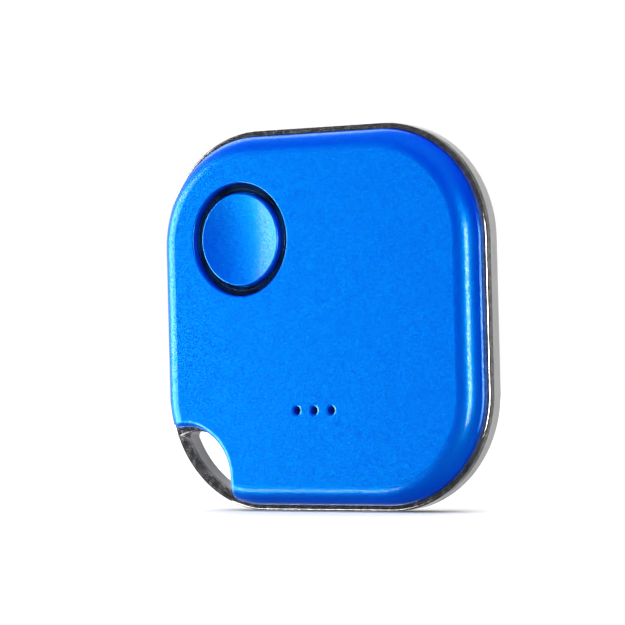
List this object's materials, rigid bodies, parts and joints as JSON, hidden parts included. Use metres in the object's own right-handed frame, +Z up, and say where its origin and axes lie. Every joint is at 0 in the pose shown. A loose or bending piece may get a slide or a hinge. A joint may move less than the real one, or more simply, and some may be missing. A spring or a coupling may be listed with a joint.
{
  "type": "bluetooth tracker tag",
  "caption": "Rounded-square press-button tracker tag with a dished button, sound holes, a plated bezel and a corner key loop.",
  "frame": {"origin": "on the surface the tag stands on, under the middle of its outline and of its thickness", "axes": "+Z up the face, +X to the right of the face, +Y out of the back; the button faces -Y"},
  "size_m": [0.036, 0.006, 0.036],
  "materials": {
    "blue_lacquer": "metallic blue lacquer with fine pearl flake",
    "bright_plate": "bright chrome plate on moulded plastic",
    "plated_frame": "satin silver plating",
    "smoked_ring": "dark translucent, polished",
    "dust_mesh": "fine woven",
    "foam": "closed-cell foam",
    "board": "dark solder mask on glass-fibre board",
    "spring_steel": "stamped",
    "clear_film": "amber film",
    "chip_resin": "moulded",
    "ceramic_white": "fired",
    "nickel_can": "nickel plated",
    "ferrite": "sintered",
    "capacitor_tan": "sintered, tinned ends",
    "resistor_black": "coated, tinned ends",
    "light_white": "clear resin on white",
    "gold_pad": "gold plated",
    "buzzer_resin": "moulded",
    "brass": "rolled",
    "piezo_ceramic": "silvered",
    "nickel_sheet": "nickel plated",
    "cell_steel": "nickel-plated steel",
    "cell_nylon": "moulded",
    "lithium": "pressed",
    "paper_separator": "non-woven",
    "manganese_oxide": "pressed",
    "blue_lacquer_button": "metallic blue lacquer with fine pearl flake",
    "satin_back": "satin silver-grey"
  },
  "bodies": {
    "tag": {"front_cover": "blue_lacquer", "bezel_ring": "bright_plate", "inner_frame": "plated_frame", "light_ring": "smoked_ring", "sound_mesh": "dust_mesh", "sound_gasket": "foam", "circuit_board": "board", "switch_dome": "spring_steel", "switch_film": "clear_film", "radio_chip": "chip_resin", "antenna_chip": "ceramic_white", "crystal": "nickel_can", "inductor": "ferrite", "capacitors": "capacitor_tan", "resistors": "resistor_black", "status_lights": "light_white", "test_pads": "gold_pad", "buzzer_case": "buzzer_resin", "buzzer_plate": "brass", "buzzer_disc": "piezo_ceramic", "positive_contact": "nickel_sheet", "negative_contact": "nickel_sheet", "cell_can": "cell_steel", "cell_seal": "cell_nylon", "cell_cap": "cell_steel", "cell_anode": "lithium", "cell_separator": "paper_separator", "cell_cathode": "manganese_oxide"},
    "button": {"button_cap": "blue_lacquer_button"},
    "back": {"back_cover": "satin_back"}
  },
  "joints": [
    {"name": "button_press", "type": "slide", "parent": "tag", "child": "button", "axis": [0, 1, 0], "range_m": [0, 0.0002], "stiffness_N_per_m": 6000, "deforming": ["switch_dome", "switch_film"]},
    {"name": "back_cover_pull", "type": "slide", "parent": "tag", "child": "back", "axis": [0, 1, 0], "range_m": [0, 0.02]}
  ]
}
